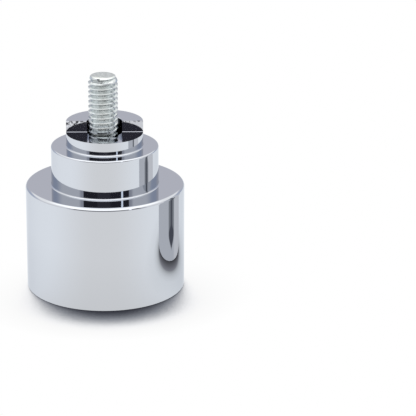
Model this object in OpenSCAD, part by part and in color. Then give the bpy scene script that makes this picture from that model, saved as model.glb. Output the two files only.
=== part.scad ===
// Bar end weight for a 22 mm handlebar: a turned, plated weight and its loose clamping screw.
// It stands on its outer face. The origin is the centre of that face, +Z points into the handlebar,
// and the milled flat of the boss faces -Y. Millimetres.

/* [Body] */
// Diameter of the wide body
body_d = 32; // [30:0.5:40]
// Height of the wide body
body_h = 21.5; // [15:0.5:35]
// Rounding of the body's inner rim
body_edge_r = 0.8; // [0.3:0.1:1.4]
// Rounding of the outer face's rim
foot_edge_r = 0.3; // [0.1:0.1:1]

/* [Collar] */
// Diameter of the collar that meets the end of the handlebar
collar_d = 21.6; // [20:0.1:26]
// Height of the collar
collar_h = 8; // [3:0.5:15]
// Rounding of the collar's rim
collar_edge_r = 0.35; // [0.1:0.05:0.8]

/* [Boss] */
// Diameter of the boss that enters the handlebar
boss_d = 15.4; // [12:0.1:17.4]
// Height of the boss at its full half
boss_h = 5; // [4.5:0.1:9]
// How far the other half is milled down
lap_drop = 2.3; // [1:0.1:4]

/* [Corners] */
// Rounding left by the tool in the corners under the collar and the boss
root_r = 0.2; // [0.1:0.05:0.5]

/* [Screw] */
// Nominal diameter of the screw
screw_d = 6; // [5:0.5:8]
// Pitch of the thread
pitch = 1; // [0.8:0.05:1.25]
// How much narrower the thread's crests are than the nominal diameter
crest_under = 0.1; // [0.05:0.01:0.2]
// How much narrower the plain shank is than the nominal diameter
shank_under = 0.65; // [0.55:0.05:0.9]
// How far the thread goes on inside the weight, below the milled half of the boss
thread_hidden = 2.13; // [1:0.01:8]
// How far the screw stands out of the full half of the boss
screw_reach = 9.5; // [5:0.5:20]
// Length of the chamfer at the screw's tip, which goes down to the root of the thread
tip_chamfer = 0.9; // [0.5:0.05:1.2]
// Diameter of the screw head
head_d = 10; // [9:0.5:13]
// Height of the screw head
head_h = 4; // [3:0.5:6]
// Chamfer round the head's outer edge
head_chamfer = 0.5; // [0.2:0.1:0.8]
// Width across the flats of the key socket
socket_af = 4; // [3:0.5:5]
// Depth of the key socket
socket_depth = 3; // [2:0.1:3.4]

/* [Clearances] */
// Width of the hole beyond the screw
hole_gap = 1; // [0.4:0.1:1.5]
// Width of the head pocket beyond the head
pocket_gap = 1; // [0.6:0.1:2]
// How far the head sinks below the outer face when the screw is tight
head_sink = 1; // [0.5:0.1:3]
// Part of the hole's slack that the loose screw has moved sideways
slack_used = 0.5; // [0:0.1:0.8]

/* [Hidden] */
$fn = 128;

// Proportions of a metric thread: the root lies 1.2269 pitches below the nominal diameter, the crest is
// an eighth of a pitch wide at that diameter, and the flanks slope 30 degrees
root_pitches = 1.2269;
crest_pitches = 1 / 8;
flank_angle = 30;
// The thread is a faceted ridge, with this many facets to a turn and its foot sunk into the core
turn_facets = 24;
sunk_pitches = 1 / 12;

body_r = body_d / 2;
collar_r = collar_d / 2;
boss_r = boss_d / 2;
collar_top = body_h + collar_h;
boss_top = collar_top + boss_h;
lap_floor = boss_top - lap_drop;
hole_d = screw_d + hole_gap;
pocket_d = head_d + pocket_gap;
pocket_depth = head_h + head_sink;
screw_shift = -slack_used * hole_gap / 2;
screw_top = boss_top + screw_reach;
shank_d = screw_d - shank_under;
thread_foot = lap_floor - thread_hidden;
crest_r = (screw_d - crest_under) / 2;
crest_half = crest_pitches * pitch / 2 + crest_under / 2 * tan(flank_angle);
core_r = (screw_d - root_pitches * pitch) / 2;
sunk = sunk_pitches * pitch;
ridge_r = core_r - sunk;
cut_over = 1;

// The waste outside a rounded corner, which points to +X and +Y at the origin
module corner_waste(r) {
    difference() {
        translate([-r, -r]) square(r + cut_over);
        translate([-r, -r]) circle(r);
    }
}

// The metal in an inside corner, which opens to +X and +Y at the origin
module corner_fill(r) {
    difference() {
        square(r);
        translate([r, r]) circle(r);
    }
}

// One step of the turned shape, from its lower face to its rounded upper rim
module step(r, low, high, edge) {
    difference() {
        translate([0, low]) square([r, high - low]);
        translate([r, high]) corner_waste(edge);
    }
}

// Half section of the weight before it is drilled and milled
module weight_section() {
    difference() {
        step(body_r, 0, body_h, body_edge_r);
        translate([body_r, 0]) mirror([0, 1]) corner_waste(foot_edge_r);
    }
    step(collar_r, body_h, collar_top, collar_edge_r);
    translate([0, collar_top]) square([boss_r, boss_h]);
    translate([collar_r, body_h]) corner_fill(root_r);
    translate([boss_r, collar_top]) corner_fill(root_r);
}

// Clearance hole for the screw, right through
module screw_hole() {
    translate([0, 0, -cut_over]) cylinder(d = hole_d, h = boss_top + 2 * cut_over);
}

// Pocket in the outer face that takes the screw head
module head_pocket() {
    translate([0, 0, -cut_over]) cylinder(d = pocket_d, h = pocket_depth + cut_over);
}

// Half of the boss milled away, so that it laps with the insert in the handlebar
module lap_cut() {
    translate([-boss_d, -2 * boss_d, lap_floor]) cube([2 * boss_d, 2 * boss_d, lap_drop + cut_over]);
}

// The turned and plated weight
module end_weight() {
    color([0.80, 0.81, 0.84])
    difference() {
        rotate_extrude() weight_section();
        screw_hole();
        head_pocket();
        lap_cut();
    }
}

// Head of the screw, chamfered round its outer face
module screw_head() {
    cylinder(d1 = head_d - 2 * head_chamfer, d2 = head_d, h = head_chamfer);
    translate([0, 0, head_chamfer]) cylinder(d = head_d, h = head_h - head_chamfer);
}

// Plain shank of the screw, at the diameter that the thread was rolled from
module screw_shank() {
    translate([0, 0, head_h]) cylinder(d = shank_d, h = thread_foot - head_h);
}

// Core of the screw at the root of the thread, up to the tip
module thread_core() {
    translate([0, 0, thread_foot - sunk]) cylinder(r = core_r, h = screw_top - thread_foot + sunk);
}

// Radius that the chamfer at the tip leaves at height h. It ends just inside the core
function tip_limit(h) =
    crest_r - (crest_r - ridge_r) * max(0, h - screw_top + tip_chamfer) / tip_chamfer;

// The four corners of the ridge's section, i facets on from its start
function ridge_corners(i) =
    let (angle = 360 * i / turn_facets, middle = thread_foot + pitch * i / turn_facets)
    [for (corner = [[ridge_r, -1], [crest_r, -1], [crest_r, 1], [ridge_r, 1]])
        let (
            half = crest_half + (crest_r - corner[0]) * tan(flank_angle),
            h = min(middle + corner[1] * half, screw_top - sunk),
            r = min(corner[0], tip_limit(h))
        )
        [r * cos(angle), r * sin(angle), h]];

// Ridge of the right-hand thread, which fades out in the chamfer at the tip
module thread_ridge() {
    count = floor(turn_facets * (screw_top - thread_foot) / pitch);
    last = 4 * count;
    sides = [for (i = [0 : count - 1], k = [0 : 3])
        let (a = 4 * i + k, b = 4 * i + (k + 1) % 4)
        each [[a, b, a + 4], [b, b + 4, a + 4]]];
    polyhedron(
        points = [for (i = [0 : count]) each ridge_corners(i)],
        faces = concat([[3, 2, 1, 0]], sides, [[last, last + 1, last + 2, last + 3]]));
}

// Hexagonal socket for the key
module key_socket() {
    translate([0, 0, -cut_over])
        cylinder(d = socket_af / cos(30), h = socket_depth + cut_over, $fn = 6);
}

// The loose clamping screw, head down in its pocket
module clamp_screw() {
    color([0.72, 0.75, 0.74])
    translate([screw_shift, 0, 0])
    difference() {
        union() {
            screw_head();
            screw_shank();
            thread_core();
            thread_ridge();
        }
        key_socket();
    }
}

end_weight();
clamp_screw();
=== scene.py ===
import math

import bmesh
import bpy
from mathutils import Matrix, Vector


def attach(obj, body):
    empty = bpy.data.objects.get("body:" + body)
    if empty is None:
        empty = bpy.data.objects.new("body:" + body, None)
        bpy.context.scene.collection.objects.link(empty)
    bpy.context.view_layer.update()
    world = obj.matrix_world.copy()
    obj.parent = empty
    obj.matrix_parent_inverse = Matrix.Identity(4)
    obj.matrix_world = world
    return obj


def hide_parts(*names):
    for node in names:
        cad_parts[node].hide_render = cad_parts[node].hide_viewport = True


# A turned and plated weight for the end of a handlebar, and its loose clamping screw, in metres

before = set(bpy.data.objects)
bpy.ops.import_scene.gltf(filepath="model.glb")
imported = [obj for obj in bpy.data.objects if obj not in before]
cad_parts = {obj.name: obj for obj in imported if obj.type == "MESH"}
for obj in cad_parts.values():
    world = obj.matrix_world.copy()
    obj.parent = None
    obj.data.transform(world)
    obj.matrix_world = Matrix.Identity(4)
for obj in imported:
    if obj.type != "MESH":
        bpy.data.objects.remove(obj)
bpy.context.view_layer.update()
scene = bpy.context.scene
up = Vector((0, 0, 1))
weldGap = 1e-7  # vertices closer than this are one


# Small helpers for meshes

def smoothMesh(mesh, sharpAngle):
    mesh.shade_smooth()
    mesh.set_sharp_from_angle(angle=math.radians(sharpAngle))


def newPiece(bm, name, sharpAngle=40):
    mesh = bpy.data.meshes.new(name)
    bm.to_mesh(mesh)
    bm.free()
    smoothMesh(mesh, sharpAngle)
    piece = bpy.data.objects.new(name, mesh)
    scene.collection.objects.link(piece)
    return piece


def bakeModifiers(piece):
    graph = bpy.context.evaluated_depsgraph_get()
    baked = bpy.data.meshes.new_from_object(piece.evaluated_get(graph), depsgraph=graph)
    piece.modifiers.clear()
    piece.data = baked
    baked.name = piece.name


def weighNormals(piece):
    weigh = piece.modifiers.new("weighNormals", "WEIGHTED_NORMAL")
    weigh.mode = "FACE_AREA"
    weigh.weight = 100
    weigh.keep_sharp = True
    bakeModifiers(piece)


def vertsIn(geom):
    return [g for g in geom if isinstance(g, bmesh.types.BMVert)]


def edgesIn(geom):
    return [g for g in geom if isinstance(g, bmesh.types.BMEdge)]


def roundCorner(bm, corner, radius, segments):
    near = min(bm.verts, key=lambda v: (v.co - Vector(corner)).length)
    bmesh.ops.bevel(
        bm, geom=[near], offset=radius, offset_type="OFFSET", segments=segments,
        profile=0.5, affect="VERTICES", material=-1, clamp_overlap=True)


def cleanShell(bm):
    bmesh.ops.remove_doubles(bm, verts=bm.verts, dist=weldGap)
    bmesh.ops.recalc_face_normals(bm, faces=bm.faces)


# The weight: one turned section with rounded corners, spun about its axis

weightSizes = {
    "bodyRadius": 0.016,
    "bodyHeight": 0.0215,
    "bodyEdge": 0.00065,
    "footEdge": 0.0003,
    "collarRadius": 0.0108,
    "collarTop": 0.0295,
    "collarEdge": 0.00033,
    "bossRadius": 0.0077,
    "bossTop": 0.0345,
    "bossEdge": 0.00006,
    "rootFillet": 0.0003,
    "holeRadius": 0.0035,
    "holeEdge": 0.00012,
    "pocketRadius": 0.0055,
    "pocketDepth": 0.005,
    "turnSteps": 288,
    "edgeSegments": 8,
    "flatEnd": 0.00003,  # a narrow band at each end of a flat keeps the rest of it flat
    "flatLeast": 0.0003,  # what is shorter is part of a rounding, and gets no bands
}


def bandFlats(bm, s):
    band = s["flatEnd"]
    for edge in [e for e in bm.edges if e.calc_length() > s["flatLeast"]]:
        rest = bmesh.utils.edge_split(edge, edge.verts[0], band / edge.calc_length())[0]
        rest = max((edge, rest), key=lambda e: e.calc_length())
        bmesh.utils.edge_split(rest, rest.verts[0], 1 - band / rest.calc_length())


def turnWeight(s):
    corners = [  # radius, height, rounding
        (s["pocketRadius"], 0, s["holeEdge"]),
        (s["bodyRadius"], 0, s["footEdge"]),
        (s["bodyRadius"], s["bodyHeight"], s["bodyEdge"]),
        (s["collarRadius"], s["bodyHeight"], s["rootFillet"]),
        (s["collarRadius"], s["collarTop"], s["collarEdge"]),
        (s["bossRadius"], s["collarTop"], s["rootFillet"]),
        (s["bossRadius"], s["bossTop"], s["bossEdge"]),
        (s["holeRadius"], s["bossTop"], s["holeEdge"]),
        (s["holeRadius"], s["pocketDepth"], 0),
        (s["pocketRadius"], s["pocketDepth"], 0),
    ]
    bm = bmesh.new()
    bm.faces.new([bm.verts.new((r, 0, z)) for r, z, rounding in corners])
    for r, z, rounding in corners:
        if rounding:
            roundCorner(bm, (r, 0, z), rounding, s["edgeSegments"])
    bandFlats(bm, s)
    bmesh.ops.delete(bm, geom=list(bm.faces), context="FACES_ONLY")
    bmesh.ops.spin(
        bm, geom=bm.verts[:] + bm.edges[:], cent=(0, 0, 0), axis=up, dvec=(0, 0, 0),
        angle=math.tau, steps=s["turnSteps"], use_merge=True, use_duplicate=False)
    cleanShell(bm)
    return newPiece(bm, "endWeight")


# The half lap: a milling cutter's sweep, with the nose radius that leaves a fillet

lapSizes = {
    "floor": 0.0322,
    "wall": 0.0,
    "noseRadius": 0.00007,
    "noseSegments": 4,
    "reach": 0.012,  # of the cutter, out past the weight's boss
    "lift": 0.006,  # and up past its top
    "sharpAngle": 40,
}


def liesAlong(edge, y, z):
    return all(abs(v.co.y - y) < weldGap and abs(v.co.z - z) < weldGap for v in edge.verts)


def millLap(piece, s):
    bm = bmesh.new()
    bmesh.ops.create_cube(bm, size=1)
    bmesh.ops.scale(bm, verts=bm.verts, vec=(2 * s["reach"], s["reach"], s["lift"]))
    bmesh.ops.translate(
        bm, verts=bm.verts, vec=(0, s["wall"] - s["reach"] / 2, s["floor"] + s["lift"] / 2))
    nose = [e for e in bm.edges if liesAlong(e, s["wall"], s["floor"])]
    bmesh.ops.bevel(
        bm, geom=nose, offset=s["noseRadius"], offset_type="OFFSET",
        segments=s["noseSegments"], profile=0.5, affect="EDGES", material=-1)
    cutter = newPiece(bm, "lapCutter")
    cut = piece.modifiers.new("cutLap", "BOOLEAN")
    cut.operation = "DIFFERENCE"
    cut.solver = "EXACT"
    cut.object = cutter
    bakeModifiers(piece)
    bpy.data.objects.remove(cutter)
    bm = bmesh.new()
    bm.from_mesh(piece.data)
    cleanShell(bm)
    bm.to_mesh(piece.data)
    bm.free()
    smoothMesh(piece.data, s["sharpAngle"])


endWeight = turnWeight(weightSizes)
millLap(endWeight, lapSizes)
weighNormals(endWeight)
print("weight turned and milled:", len(endWeight.data.polygons), "faces")


# The clamping screw: thread, shank, head and key socket, all one shell

screwSizes = {
    "axisX": -0.00025,
    "pitch": 0.001,
    "peakRadius": 0.003175,  # where the flanks would meet outside
    "valleyRadius": 0.002309,  # and inside
    "crestRadius": 0.00295,
    "crestHalf": 0.00013,
    "valleyRound": 0.00018,  # along the flank
    "valleySegments": 6,
    "crestHeight": 0.04207,  # of a crest at the screw's +X side
    "stepsPerTurn": 96,
    "spareTurns": 3,  # beyond the length, trimmed off later
    "turnGap": 1e-6,  # welds each turn to the next
    "threadStart": 0.022,
    "tip": 0.044,
    "tipRadius": 0.0023,
    "tipRound": 0.0003,
    "tipSlope": 0.45,  # outward per unit down, below the rounded edge
    "shankRadius": 0.002675,
    "headTop": 0.004,
    "headRadius": 0.005,
    "headChamfer": 0.0005,
    "socketAcross": 0.004,
    "socketDepth": 0.003,
    "socketCuts": 15,
    "sharpAngle": 25,
}


def extrudeRing(bm, cap, height, radius):
    grown = bmesh.ops.extrude_face_region(bm, geom=[cap])["geom"]
    bmesh.ops.delete(bm, geom=[cap], context="FACES_ONLY")
    cap = next(g for g in grown if isinstance(g, bmesh.types.BMFace))
    for v in cap.verts:
        flat = Vector((v.co.x, v.co.y, 0)).normalized() * radius
        v.co = (flat.x, flat.y, height)
    return cap


def cutThread(bm, s):
    p = s["pitch"]
    turns = math.ceil((s["tip"] - s["threadStart"]) / p) + s["spareTurns"]
    below = math.ceil((s["crestHeight"] - s["threadStart"]) / p) + 1  # pitches, one to spare
    base = s["crestHeight"] - p * below
    middle = (s["peakRadius"] + s["valleyRadius"]) / 2
    axle = s["valleyRadius"] / 2
    line = [  # from the middle of one flank to the middle of the next but one
        (axle, -0.75 * p), (middle, -0.75 * p), (s["valleyRadius"], -0.5 * p),
        (s["crestRadius"], -s["crestHalf"]), (s["crestRadius"], s["crestHalf"]),
        (middle, 0.25 * p), (axle, 0.25 * p)]
    bm.faces.new([bm.verts.new((r, 0, base + z)) for r, z in line])
    valley = (s["valleyRadius"], 0, base - 0.5 * p)
    roundCorner(bm, valley, s["valleyRound"], s["valleySegments"])
    nearAxis = [v for v in bm.verts if v.co.x < (axle + s["valleyRadius"]) / 2]
    bmesh.ops.delete(bm, geom=nearAxis, context="VERTS")
    bmesh.ops.delete(bm, geom=list(bm.faces), context="FACES_ONLY")
    bmesh.ops.spin(
        bm, geom=bm.verts[:] + bm.edges[:], cent=(0, 0, 0), axis=up,
        dvec=(0, 0, p / s["stepsPerTurn"]), angle=math.tau,
        steps=s["stepsPerTurn"], use_merge=False, use_duplicate=False)
    turn = bm.verts[:] + bm.edges[:] + bm.faces[:]
    for k in range(1, turns):
        copied = bmesh.ops.duplicate(bm, geom=turn)["geom"]
        bmesh.ops.translate(bm, verts=vertsIn(copied), vec=(0, 0, k * p))
    bmesh.ops.remove_doubles(bm, verts=bm.verts, dist=s["turnGap"])


def trimThread(bm, s):
    for height, facing in ((s["tip"], 1), (s["threadStart"], -1)):
        cut = bmesh.ops.bisect_plane(
            bm, geom=bm.verts[:] + bm.edges[:] + bm.faces[:], dist=weldGap,
            plane_co=(0, 0, height), plane_no=(0, 0, facing), clear_outer=True)
        cap = bmesh.ops.contextual_create(bm, geom=edgesIn(cut["geom_cut"]))["faces"][0]
    for v in bm.verts:  # the end is rounded, then tapers out to the full thread
        below, rounding = s["tip"] - v.co.z, s["tipRound"]
        flare = math.sqrt(1 - max(0, 1 - below / rounding) ** 2) * rounding
        limit = s["tipRadius"] + flare + s["tipSlope"] * max(0, below - rounding)
        radius = math.hypot(v.co.x, v.co.y)
        if radius > limit:
            v.co.x *= limit / radius
            v.co.y *= limit / radius
    return cap  # the lower one, where the shank goes on


def addHead(bm, cap, s):
    r, c = s["headRadius"], s["headChamfer"]
    small = c / 3  # the head's edge next to the shank is only broken
    for height, radius in (
            (s["threadStart"] - s["pitch"] / 2, s["shankRadius"]),
            (s["headTop"], s["shankRadius"]),
            (s["headTop"], r - small), (s["headTop"] - small, r), (c, r), (0, r - c)):
        cap = extrudeRing(bm, cap, height, radius)
    rim = list(cap.edges)
    bmesh.ops.delete(bm, geom=[cap], context="FACES_ONLY")
    corner = s["socketAcross"] / math.sqrt(3)
    key = bmesh.ops.create_circle(bm, radius=corner, segments=6)["verts"]
    sides = [e for e in bm.edges if e.verts[0] in key and e.verts[1] in key]
    split = bmesh.ops.subdivide_edges(bm, edges=sides, cuts=s["socketCuts"])
    sides = list(dict.fromkeys(edgesIn(split["geom"])))  # each once, in the same order each run
    bmesh.ops.bridge_loops(bm, edges=rim + sides)
    risen = bmesh.ops.extrude_edge_only(bm, edges=sides)["geom"]
    bmesh.ops.translate(bm, verts=vertsIn(risen), vec=(0, 0, s["socketDepth"]))
    bmesh.ops.contextual_create(bm, geom=edgesIn(risen))


def makeScrew(s):
    bm = bmesh.new()
    cutThread(bm, s)
    foot = trimThread(bm, s)
    addHead(bm, foot, s)
    bmesh.ops.translate(bm, verts=bm.verts, vec=(s["axisX"], 0, 0))
    cleanShell(bm)
    return newPiece(bm, "clampScrew", s["sharpAngle"])


clampScrew = makeScrew(screwSizes)
print("screw threaded:", len(clampScrew.data.polygons), "faces")


# Small helpers for materials: a socket as a value is linked, anything else is set

def put(tree, kind, inputs=None, **settings):
    node = tree.nodes.new(kind)
    for key, value in settings.items():
        setattr(node, key, value)
    for key, value in (inputs or {}).items():
        if isinstance(value, bpy.types.NodeSocket):
            tree.links.new(value, node.inputs[key])
        else:
            node.inputs[key].default_value = value
    return node


def calc(tree, operation, *values):
    return put(tree, "ShaderNodeMath", dict(enumerate(values)), operation=operation).outputs[0]


def vectorCalc(tree, operation, first, second):
    return put(tree, "ShaderNodeVectorMath", {0: first, 1: second}, operation=operation).outputs


def scaleColour(tree, colour, amount):
    inputs = {0: colour, "Scale": amount}
    return put(tree, "ShaderNodeVectorMath", inputs, operation="SCALE").outputs[0]


def blendValue(tree, share, first, second):
    return put(tree, "ShaderNodeMix", {0: share, 2: first, 3: second}).outputs[0]


def blendColour(tree, share, first, second):
    inputs = {0: share, 6: first, 7: second}
    return put(tree, "ShaderNodeMix", inputs, data_type="RGBA").outputs[2]


def slope(tree, value, low, high, start=0.0, end=1.0, shape="LINEAR"):
    return put(
        tree, "ShaderNodeMapRange",
        {"Value": value, "From Min": low, "From Max": high, "To Min": start, "To Max": end},
        interpolation_type=shape).outputs[0]


def rise(tree, value, low, high, start=0.0, end=1.0):
    return slope(tree, value, low, high, start, end, "SMOOTHSTEP")


def between(tree, value, low, high, soft):
    return calc(
        tree, "MULTIPLY", rise(tree, value, low - soft, low + soft),
        rise(tree, value, high - soft, high + soft, 1.0, 0.0))


def rampColour(tree, value, stops):
    ramp = put(tree, "ShaderNodeValToRGB", {"Fac": value})
    elements = ramp.color_ramp.elements
    elements[0].position, elements[0].color = stops[0]
    elements[1].position, elements[1].color = stops[-1]
    for position, colour in stops[1:-1]:
        elements.new(position).color = colour
    return ramp.outputs["Color"]


def splitAxes(tree, vector):
    return put(tree, "ShaderNodeSeparateXYZ", {0: vector}).outputs


def radiusOf(tree, x, y):
    return calc(tree, "SQRT", calc(tree, "MULTIPLY_ADD", x, x, calc(tree, "MULTIPLY", y, y)))


def noise(tree, place, scale, detail, roughness):
    return put(tree, "ShaderNodeTexNoise", {
        "Vector": place, "Scale": scale, "Detail": detail,
        "Roughness": roughness}).outputs["Fac"]


def objectPlace(tree):
    return put(tree, "ShaderNodeTexCoord").outputs["Object"]


def newMaterial(name):
    material = bpy.data.materials.new(name)
    material.use_nodes = True
    return material, material.node_tree, material.node_tree.nodes["Principled BSDF"]


def finishMetal(tree, shader, edgeTint, colour, rough, height, depth):
    bump = put(tree, "ShaderNodeBump", {
        "Strength": 1.0, "Distance": depth, "Height": height}).outputs["Normal"]
    shader.inputs["Metallic"].default_value = 1
    shader.inputs["Specular Tint"].default_value = edgeTint
    tree.links.new(colour, shader.inputs["Base Color"])
    tree.links.new(rough, shader.inputs["Roughness"])
    tree.links.new(bump, shader.inputs["Normal"])


# Grain of a plated surface: a speckle and a slow cloud on Object coordinates, shared by both platings

grainMix = {
    "speckle": (3.0, 0.6),  # detail and roughness of the noise
    "cloud": (2.0, 0.5),
    "speckleShare": 0.4,
    "cloudShare": 0.6,
    "range": (0.35, 0.65),  # what the mix of the two mostly lies in
    "inputs": {"Speckle Scale": 4000.0, "Cloud Scale": 200.0, "Low": 0.0, "High": 1.0},
}


def makeGrainGroup(s):
    group = bpy.data.node_groups.new("plateGrain", "ShaderNodeTree")
    face = group.interface
    for name, value in s["inputs"].items():
        face.new_socket(name, in_out="INPUT", socket_type="NodeSocketFloat").default_value = value
    for name in ("Value", "Height"):
        face.new_socket(name, in_out="OUTPUT", socket_type="NodeSocketFloat")
    given = group.nodes.new("NodeGroupInput").outputs
    place = objectPlace(group)
    speckle = noise(group, place, given["Speckle Scale"], *s["speckle"])
    cloud = noise(group, place, given["Cloud Scale"], *s["cloud"])
    both = calc(
        group, "MULTIPLY_ADD", cloud, s["cloudShare"],
        calc(group, "MULTIPLY", speckle, s["speckleShare"]))
    value = slope(group, both, *s["range"], given["Low"], given["High"])
    put(group, "NodeGroupOutput", {"Value": value, "Height": speckle})
    return group


plateGrain = makeGrainGroup(grainMix)


def addGrain(tree, look):
    return put(tree, "ShaderNodeGroup", {
        "Speckle Scale": look["speckleScale"], "Cloud Scale": look["cloudScale"],
        "Low": look["roughnessLow"], "High": look["roughnessHigh"]}, node_tree=plateGrain)


# Chrome plating, mirror bright where it was turned, with a coarse milled lap on the boss

chromeLook = {
    "colour": (0.597, 0.617, 0.651, 1),
    "edgeTint": (0.80, 0.81, 0.83, 1),
    "roughnessLow": 0.015,
    "roughnessHigh": 0.045,
    "speckleScale": 3000.0,
    "cloudScale": 120.0,
    "milledColour": (0.57, 0.585, 0.625, 1),
    "milledRoughness": 0.05,
    "milledSoft": 0.00003,  # how far round the lap its finish fades in
    "markSpacing": 0.00022,
    "markSlant": (0.8, 0.6),  # the way across the cutter's marks, in X and Y
    "markDepth": 0.000001,
    "grainShare": 0.2,  # of the marks' depth
    "burrColour": (0.06, 0.06, 0.07, 1),
    "burrRoughness": 0.4,
    "burrScale": 1900.0,
    "burrLeft": 0.0019,  # how far the burrs reach down the wall at its left and right ends
    "burrRight": 0.0003,
    "burrRare": (0.53, 0.62),  # at the top of the wall and at the burrs' reach
    "burrThins": (0.4, 0.8),  # parts of their reach between which they get rare
    "burrEnds": (0.8, 1.0),  # and between which they end
    "burrEndRare": 0.3,
    "burrSoft": (-0.01, 0.02),
    "tornBright": 1.4,  # of the brightest specks between the burrs
    "tornSpecks": (0.45, 0.38),  # noise at which they start and are full
    "tornRight": 0.3,  # of their strength is left at the right
}


def findLap(tree, place, look, lap, weight):
    x, y, z = place
    soft = look["milledSoft"]
    inLap = calc(
        tree, "MULTIPLY", rise(tree, z, lap["floor"] - soft, lap["floor"] - soft / 3),
        rise(tree, y, lap["wall"] + soft / 3, lap["wall"] + soft, 1.0, 0.0))
    inBoss = calc(tree, "LESS_THAN", radiusOf(tree, x, y), weight["bossRadius"] - soft)
    milled = calc(tree, "MULTIPLY", inLap, inBoss)
    offFloor = rise(tree, z, lap["floor"] + 2 * soft, lap["floor"] + 4 * soft)
    return milled, calc(tree, "MULTIPLY", milled, offFloor)


def findBurrs(tree, place, specks, look, weight):
    edge = weight["bossRadius"]
    reach = slope(tree, place[0], -edge, edge, look["burrLeft"], look["burrRight"])
    down = calc(tree, "DIVIDE", calc(tree, "SUBTRACT", weight["bossTop"], place[2]), reach)
    rare = calc(
        tree, "ADD", rise(tree, down, *look["burrThins"], *look["burrRare"]),
        rise(tree, down, *look["burrEnds"], 0.0, look["burrEndRare"]))
    return rise(tree, calc(tree, "SUBTRACT", specks, rare), *look["burrSoft"])


def tornGlint(tree, place, specks, onWall, look, weight):
    edge = weight["bossRadius"]
    fading = rise(tree, place[0], -edge / 2, edge / 3, 1.0, look["tornRight"])
    torn = calc(tree, "MULTIPLY", onWall, fading)
    glint = calc(tree, "MULTIPLY", torn, rise(tree, specks, *look["tornSpecks"]))
    return calc(tree, "MULTIPLY_ADD", glint, look["tornBright"] - 1, 1.0)


def makeChrome(look, lap, weight):
    material, tree, shader = newMaterial("brightChrome")
    vector = objectPlace(tree)
    place = splitAxes(tree, vector)
    grain = addGrain(tree, look).outputs
    milled, onWall = findLap(tree, place, look, lap, weight)

    # small burrs and torn specks under the wall's top edge, most at the left end
    specks = noise(tree, vector, look["burrScale"], *grainMix["speckle"])
    burrs = calc(tree, "MULTIPLY", onWall, findBurrs(tree, place, specks, look, weight))
    glint = tornGlint(tree, place, specks, onWall, look, weight)
    milledColour = scaleColour(tree, look["milledColour"][:3], glint)
    colour = blendColour(tree, milled, look["colour"], milledColour)
    colour = blendColour(tree, burrs, colour, look["burrColour"])
    rough = blendValue(tree, milled, grain["Value"], look["milledRoughness"])
    rough = blendValue(tree, burrs, rough, look["burrRoughness"])

    # the cutter's marks run aslant over the lap
    across = calc(
        tree, "ADD", calc(tree, "MULTIPLY", place[0], look["markSlant"][0]),
        calc(tree, "MULTIPLY", place[1], look["markSlant"][1]))
    marks = calc(tree, "SINE", calc(tree, "MULTIPLY", across, math.tau / look["markSpacing"]))
    marks = calc(tree, "MULTIPLY", calc(tree, "MULTIPLY", marks, specks), milled)
    height = calc(tree, "MULTIPLY_ADD", grain["Height"], look["grainShare"], marks)
    finishMetal(tree, shader, look["edgeTint"], colour, rough, height, look["markDepth"])
    return material


# Zinc plating on the rolled screw, duller in the roots of the thread and a touch darker there, a
# painted shade, with its flat tip painted lighter, a painted highlight

zincLook = {
    "crestColour": (0.70, 0.73, 0.725, 1),
    # a touch darker than the crests: painted shade in the thread roots
    "rootShadeColour": (0.69, 0.72, 0.715, 1),
    # lighter on the flat tip: a painted highlight
    "tipHighlightColour": (0.92, 0.95, 0.88, 1),
    "edgeTint": (0.75, 0.77, 0.77, 1),
    "roughnessLow": 0.07,
    "roughnessHigh": 0.15,
    "rootRoughness": 0.13,
    "rootDepth": (0.00014, 0.00002),  # below the crests, where its finish is full and starts
    "anisotropy": 0.85,  # rolled streaks run round the screw
    "anisotropyTurn": 0.25,
    "speckleScale": 1700.0,
    "cloudScale": 600.0,
    "blotchRange": (0.30, 0.70),  # of the speckle
    "blotchBright": (0.82, 1.08),
    "relief": 0.0000012,
}


def makeZinc(look, screw):
    material, tree, shader = newMaterial("brightZinc")
    centred = put(tree, "ShaderNodeMapping", {
        "Vector": objectPlace(tree), "Location": (-screw["axisX"], 0, 0)}).outputs[0]
    x, y, z = splitAxes(tree, centred)
    grain = addGrain(tree, look).outputs
    threaded = calc(
        tree, "MULTIPLY",
        rise(tree, z, screw["threadStart"], screw["threadStart"] + screw["pitch"]),
        calc(tree, "LESS_THAN", z, screw["tip"] - screw["tipRound"]))
    full, start = [screw["crestRadius"] - depth for depth in look["rootDepth"]]
    inRoot = calc(
        tree, "MULTIPLY", rise(tree, radiusOf(tree, x, y), full, start, 1.0, 0.0), threaded)
    onTip = rise(tree, z, screw["tip"] - screw["tipRound"] / 4, screw["tip"])
    blotch = rise(tree, grain["Height"], *look["blotchRange"], *look["blotchBright"])
    # the roots get a painted shade
    colour = blendColour(tree, inRoot, look["crestColour"], look["rootShadeColour"])
    # the flat tip gets a painted highlight
    colour = blendColour(tree, onTip, colour, look["tipHighlightColour"])
    colour = scaleColour(tree, colour, blotch)
    rough = blendValue(tree, inRoot, grain["Value"], look["rootRoughness"])
    shader.inputs["Anisotropic"].default_value = look["anisotropy"]
    shader.inputs["Anisotropic Rotation"].default_value = look["anisotropyTurn"]
    finishMetal(tree, shader, look["edgeTint"], colour, rough, grain["Height"], look["relief"])
    return material


endWeight.data.materials.clear()
endWeight.data.materials.append(makeChrome(chromeLook, lapSizes, weightSizes))
clampScrew.data.materials.clear()
clampScrew.data.materials.append(makeZinc(zincLook, screwSizes))
for piece, node, slotName in (
        (endWeight, "end_weight", "chrome_plate"), (clampScrew, "clamp_screw", "zinc_plate")):
    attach(piece, "root")
    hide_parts(node)
print("materials on")


# Camera, at the photograph's viewing angle

cameraPlace = {
    "position": (0.00394, -0.41984, 0.16625),
    "pitchDown": 19.69,
    "heading": -2.3,
    "roll": 0.41826,
    "lens": 190.38,
    "sensorWidth": 36,
    "clipStart": 0.01,
}


def turnBy(angle, axis):
    return Matrix.Rotation(math.radians(angle), 4, axis)


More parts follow.
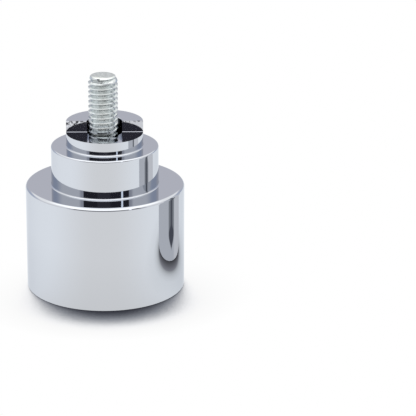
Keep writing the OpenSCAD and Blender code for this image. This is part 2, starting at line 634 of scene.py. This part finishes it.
def makeCamera(s):
    data = bpy.data.cameras.new("camera")
    data.lens = s["lens"]
    data.sensor_width = s["sensorWidth"]
    data.clip_start = s["clipStart"]
    camera = bpy.data.objects.new("camera", data)
    scene.collection.objects.link(camera)
    camera.matrix_world = (
        Matrix.Translation(s["position"]) @ turnBy(s["heading"], "Z")
        @ turnBy(90 - s["pitchDown"], "X") @ turnBy(s["roll"], "Z"))
    scene.camera = camera


makeCamera(cameraPlace)
print("camera placed")


# The studio round the object: softbox above, pale tent, and a dark opening in front
# Azimuth is in degrees from the way to the camera, growing to its right

studio = {
    "softbox": (1.7, 1.7, 1.7, 1),
    "softboxFrom": (28, 48),  # elevation in front and at the sides
    "softboxBlur": (2, 6),
    "softboxAside": (35, 80),  # azimuths between which the front turns into the sides
    "softboxBack": (1.22, 1.23, 1.26, 1),  # dimmer behind the zenith
    "backElevation": (66, 76),
    "backAzimuth": (70, 110),
    "tentBack": (0.72, 0.717, 0.775, 1),
    "tentBackFrom": (138, 160),
    "tentSide": (0.92, 0.925, 0.96, 1),
    "tentShade": (0.58, 0.63, 0.76, 1),  # a shaded fold between the two
    "tentShadeFrom": (98, 128),
    "tentTop": (1.2, 1.2, 1.2, 1),
    "tentTopFrom": (23, 30),  # elevation
    "opening": (0.034, 0.033, 0.043, 1),
    "openingLeft": -44.5,
    "openingRight": 55,
    "openingSoft": 1,
    "openingMiddle": (0.058, 0.056, 0.070, 1),
    "middleHalf": 14,
    "middleSoft": 2,
    "besideOpening": (0.55, 0.56, 0.62, 1),
    "besideWide": 8,
    "besideSoft": 4,
    "openingLow": (0.42, 0.42, 0.45, 1),
    "openingLowSide": (0.75, 0.75, 0.78, 1),
    "lowSideFrom": (10, 50),
    "lowUpTo": (8, 16),  # elevation
    "slit": (1.5, 1.6, 1.75, 1),
    "slitAt": 39.3,
    "slitWide": 4.0,
    "slitSoft": 0.2,
    "others": (0.95, 0.95, 0.95, 1),  # what lights matt things
}


def inHeading(tree, vector):
    turned = put(tree, "ShaderNodeMapping", {
        "Vector": vector,
        "Rotation": (0, 0, -math.radians(cameraPlace["heading"]))}).outputs[0]
    return splitAxes(tree, turned)


def azimuthOf(tree, x, y):
    return calc(tree, "DEGREES", calc(tree, "ARCTAN2", x, calc(tree, "MULTIPLY", y, -1.0)))


def openingColour(tree, azimuth, around, elevation, s):
    middle = between(tree, azimuth, -s["middleHalf"], s["middleHalf"], s["middleSoft"])
    dark = blendColour(tree, middle, s["opening"], s["openingMiddle"])
    left, right = s["slitAt"] - s["slitWide"] / 2, s["slitAt"] + s["slitWide"] / 2
    dark = blendColour(tree, between(tree, azimuth, left, right, s["slitSoft"]), dark, s["slit"])
    toSide = rise(tree, around, *s["lowSideFrom"])
    low = blendColour(tree, toSide, s["openingLow"], s["openingLowSide"])
    return blendColour(tree, rise(tree, elevation, *s["lowUpTo"]), low, dark)


def tentColour(tree, azimuth, around, elevation, s):
    tent = blendColour(tree, rise(tree, around, *s["tentShadeFrom"]), s["tentSide"], s["tentShade"])
    tent = blendColour(tree, rise(tree, around, *s["tentBackFrom"]), tent, s["tentBack"])
    left, right = s["openingLeft"] - s["besideWide"], s["openingRight"] + s["besideWide"]
    beside = between(tree, azimuth, left, right, s["besideSoft"])
    tent = blendColour(tree, beside, tent, s["besideOpening"])
    return blendColour(tree, rise(tree, elevation, *s["tentTopFrom"]), tent, s["tentTop"])


def softboxShare(tree, around, elevation, s):
    aside = rise(tree, around, *s["softboxAside"])
    start = blendValue(tree, aside, *s["softboxFrom"])
    blur = blendValue(tree, aside, *s["softboxBlur"])
    above = calc(tree, "DIVIDE", calc(tree, "SUBTRACT", elevation, start), blur)
    return rise(tree, above, -1.0, 1.0)


def makeWorld(s):
    world = bpy.data.worlds.new("studio")
    scene.world = world
    world.use_nodes = True
    tree = world.node_tree
    tree.nodes.clear()
    x, y, z = inHeading(tree, put(tree, "ShaderNodeTexCoord").outputs["Generated"])
    azimuth = azimuthOf(tree, x, y)
    around = calc(tree, "ABSOLUTE", azimuth)
    elevation = calc(tree, "DEGREES", calc(tree, "ARCSINE", z))
    tent = tentColour(tree, azimuth, around, elevation, s)
    dark = openingColour(tree, azimuth, around, elevation, s)
    inOpening = between(tree, azimuth, s["openingLeft"], s["openingRight"], s["openingSoft"])
    low = blendColour(tree, inOpening, tent, dark)
    behind = calc(
        tree, "MULTIPLY", rise(tree, elevation, *s["backElevation"]),
        rise(tree, around, *s["backAzimuth"]))
    high = blendColour(tree, behind, s["softbox"], s["softboxBack"])
    mirrored = blendColour(tree, softboxShare(tree, around, elevation, s), low, high)
    rays = put(tree, "ShaderNodeLightPath").outputs
    lit = blendColour(tree, rays["Is Glossy Ray"], s["others"], mirrored)
    seen = blendColour(tree, rays["Is Camera Ray"], lit, (1, 1, 1, 1))
    background = put(tree, "ShaderNodeBackground", {"Color": seen})
    put(tree, "ShaderNodeOutputWorld", {"Surface": background.outputs[0]})


makeWorld(studio)


# A drum at the right, glowing with a painted reflection and a painted contact shadow at its foot,
# gives the chrome its dark stripe. Only reflections show it

drumSizes = {
    "centre": (0.0409, 0.0011),  # in the camera's heading
    "radius": 0.0144,
    "height": 0.0215,
    "stepRadius": 0.0094,
    "stepHeight": 0.0295,
    "segments": 96,
    # the drum's glow is a painted reflection: a grey wall, lighter on the side next to the weight,
    # with a dark stripe
    "farColour": (0.615, 0.635, 0.68, 1),
    "nearColour": (0.784, 0.79, 0.82, 1),
    "nearUpTo": (0, 9),  # degrees round the drum, from the side next to the weight
    "stripeColour": (0.25, 0.265, 0.29, 1),
    "stripeDark": (0.09, 0.095, 0.12, 1),
    "stripeAt": 14.3,
    "stripeHalf": 9,
    "lineHalf": 2.5,
    "stripeSoft": 2,
    "stripeFoot": 0.0037,  # the stripe is a point here, widest at the next height
    "stripeFull": 0.0082,
    "lineFrom": 0.0105,  # above this, only a line in it stays dark
    "base": (  # height, and the brightness there: a painted contact shadow at the drum's foot
        (0.0000, 0.34),
        (0.0004, 0.28),
        (0.0010, 0.20),
        (0.0017, 0.13),
        (0.0023, 0.06),
    ),
    "baseBlue": 1.1,
}


def drumCentre():
    x, y = drumSizes["centre"]
    return turnBy(cameraPlace["heading"], "Z") @ Vector((x, y, 0))


def drumColour(tree, s):
    fromCentre = vectorCalc(tree, "SUBTRACT", objectPlace(tree), drumCentre())[0]
    x, y, z = inHeading(tree, fromCentre)
    azimuth = azimuthOf(tree, calc(tree, "MULTIPLY", y, -1.0), x)
    off = calc(tree, "ABSOLUTE", calc(tree, "SUBTRACT", azimuth, s["stripeAt"]))
    soft = s["stripeSoft"]
    masks = []
    for half in (
            rise(tree, z, s["stripeFoot"], s["stripeFull"], -soft, s["stripeHalf"]),
            rise(tree, z, s["stripeFull"], s["lineFrom"], s["stripeHalf"], s["lineHalf"])):
        masks.append(rise(tree, calc(tree, "SUBTRACT", off, half), -soft, soft, 1.0, 0.0))
    # painted reflection: grey wall and dark stripe
    colour = blendColour(tree, rise(tree, azimuth, *s["nearUpTo"]), s["nearColour"], s["farColour"])
    colour = blendColour(tree, masks[0], colour, s["stripeColour"])
    colour = blendColour(tree, calc(tree, "MULTIPLY", *masks), colour, s["stripeDark"])
    # darker towards the foot: a painted contact shadow
    top = s["base"][-1][0]
    base = rampColour(tree, calc(tree, "DIVIDE", z, top), [
        (height / top, (light, light, s["baseBlue"] * light, 1)) for height, light in s["base"]])
    return blendColour(tree, calc(tree, "GREATER_THAN", z, top), base, colour)


def makeDrum(s):
    bm = bmesh.new()
    for radius, height in ((s["radius"], s["height"]), (s["stepRadius"], s["stepHeight"])):
        made = bmesh.ops.create_cone(
            bm, cap_ends=True, segments=s["segments"], radius1=radius, radius2=radius, depth=height)
        bmesh.ops.translate(bm, verts=made["verts"], vec=drumCentre() + up * height / 2)
    drum = newPiece(bm, "studioDrum")
    material, tree = newMaterial("drumPaintedReflection")[:2]
    drum.data.materials.append(material)
    glow = put(tree, "ShaderNodeEmission", {"Color": drumColour(tree, s)}).outputs[0]
    tree.links.new(glow, tree.nodes["Material Output"].inputs["Surface"])
    drum.visible_camera = False
    drum.visible_diffuse = False
    drum.visible_shadow = False


# The floor: white in the metal, and with the object's soft contact shadow for the camera

floorLook = {
    "half": 3.0,
    # the floor the metal mirrors glows brighter towards the sides: painted light
    "front": (0.985, 0.985, 0.985, 1),
    "left": (1.115, 1.145, 1.18, 1),
    "right": (1.09, 1.12, 1.15, 1),
    "sideFrom": (8, 75),  # azimuths between which the front turns into a side
    "nearShade": 0.93,  # painted shade next to the object, the brightness there
    "nearUpTo": (0.016, 0.045),
    "edge": (0.50, 0.50, 0.53, 1),  # painted shade far out in front, within the opening
    "edgeAt": (0.228, 0.252),
    "bounced": (0.85, 0.85, 0.85, 1),
    "shadowReach": 0.015,
    "shadowSamples": 32,
    "shadowTilt": 75,
    "shadowTurn": -8,  # from straight back, to the left
    "shadow": (  # how open the sky is, and the colour there
        (0.420, (0.030, 0.032, 0.042, 1)),
        (0.480, (0.076, 0.080, 0.100, 1)),
        (0.513, (0.117, 0.125, 0.144, 1)),
        (0.538, (0.162, 0.174, 0.202, 1)),
        (0.563, (0.239, 0.254, 0.287, 1)),
        (0.588, (0.328, 0.334, 0.367, 1)),
        (0.613, (0.407, 0.423, 0.456, 1)),
        (0.638, (0.558, 0.564, 0.584, 1)),
        (0.663, (0.723, 0.730, 0.753, 1)),
        (0.688, (0.831, 0.839, 0.855, 1)),
        (0.713, (0.896, 0.896, 0.922, 1)),
        (0.740, (0.938, 0.938, 0.938, 1)),
        (0.820, (0.965, 0.965, 0.965, 1)),
        (1.000, (1.000, 1.000, 1.000, 1)),
    ),
    "drumShade": (  # how far from the drum's wall, and the brightness there
        (0.0002, 0.42),
        (0.0009, 0.55),
        (0.0018, 0.68),
        (0.0035, 0.82),
        (0.0060, 0.93),
        (0.0140, 1.00),
    ),
}


def shadowColour(tree, s):
    tilt = math.radians(s["shadowTilt"])
    turn = math.radians(cameraPlace["heading"] - s["shadowTurn"])
    lean = put(tree, "ShaderNodeCombineXYZ", {
        "X": -math.sin(turn) * math.sin(tilt), "Y": math.cos(turn) * math.sin(tilt),
        "Z": math.cos(tilt)}).outputs[0]
    openness = put(
        tree, "ShaderNodeAmbientOcclusion", {"Distance": s["shadowReach"], "Normal": lean},
        samples=s["shadowSamples"]).outputs["AO"]
    return rampColour(tree, openness, s["shadow"])


def drumShade(tree, place, s):
    far = s["drumShade"][-1][0]
    toDrum = vectorCalc(tree, "DISTANCE", place, drumCentre())["Value"]
    fromWall = calc(tree, "SUBTRACT", toDrum, drumSizes["radius"])
    return rampColour(tree, calc(tree, "DIVIDE", fromWall, far), [
        (gap / far, (light, light, light, 1)) for gap, light in s["drumShade"]])


# What the metal mirrors of the floor: painted light, brighter towards the sides, with painted shade
# near the object, round the drum's foot and far out in front
def reflectedColour(tree, s):
    place = objectPlace(tree)
    azimuth = azimuthOf(tree, *inHeading(tree, place)[:2])
    distance = vectorCalc(tree, "DISTANCE", place, (0, 0, 0))["Value"]
    side = blendColour(tree, calc(tree, "GREATER_THAN", azimuth, 0.0), s["left"], s["right"])
    toSide = rise(tree, calc(tree, "ABSOLUTE", azimuth), *s["sideFrom"])
    colour = blendColour(tree, toSide, s["front"], side)
    # painted shade on the mirrored floor next to the object
    colour = scaleColour(tree, colour, slope(tree, distance, *s["nearUpTo"], s["nearShade"], 1.0))
    colour = vectorCalc(tree, "MULTIPLY", colour, drumShade(tree, place, s))[0]
    # painted shade on the mirrored floor far out in front, within the opening
    inOpening = between(
        tree, azimuth, studio["openingLeft"], studio["openingRight"], studio["openingSoft"])
    beyond = calc(tree, "MULTIPLY", rise(tree, distance, *s["edgeAt"]), inOpening)
    return blendColour(tree, beyond, colour, s["edge"])


def makeFloor(s):
    bm = bmesh.new()
    bmesh.ops.create_grid(bm, x_segments=1, y_segments=1, size=s["half"])
    floor = newPiece(bm, "floor")
    material, tree = newMaterial("paleFloor")[:2]
    floor.data.materials.append(material)
    tree.nodes.clear()
    rays = put(tree, "ShaderNodeLightPath").outputs
    below = put(tree, "ShaderNodeNewGeometry").outputs["Backfacing"]
    seen = put(tree, "ShaderNodeEmission", {"Color": shadowColour(tree, s)}).outputs[0]
    reflected = put(tree, "ShaderNodeEmission", {"Color": reflectedColour(tree, s)}).outputs[0]
    clear = put(tree, "ShaderNodeBsdfTransparent").outputs[0]
    surface = put(tree, "ShaderNodeBsdfDiffuse", {"Color": s["bounced"]}).outputs[0]
    for share, other in (
            (rays["Is Glossy Ray"], reflected), (rays["Is Camera Ray"], seen), (below, clear)):
        surface = put(tree, "ShaderNodeMixShader", {0: share, 1: surface, 2: other}).outputs[0]
    put(tree, "ShaderNodeOutputMaterial", {"Surface": surface})


makeFloor(floorLook)
makeDrum(drumSizes)
print("studio lit")


# View

scene.view_settings.view_transform = "Standard"
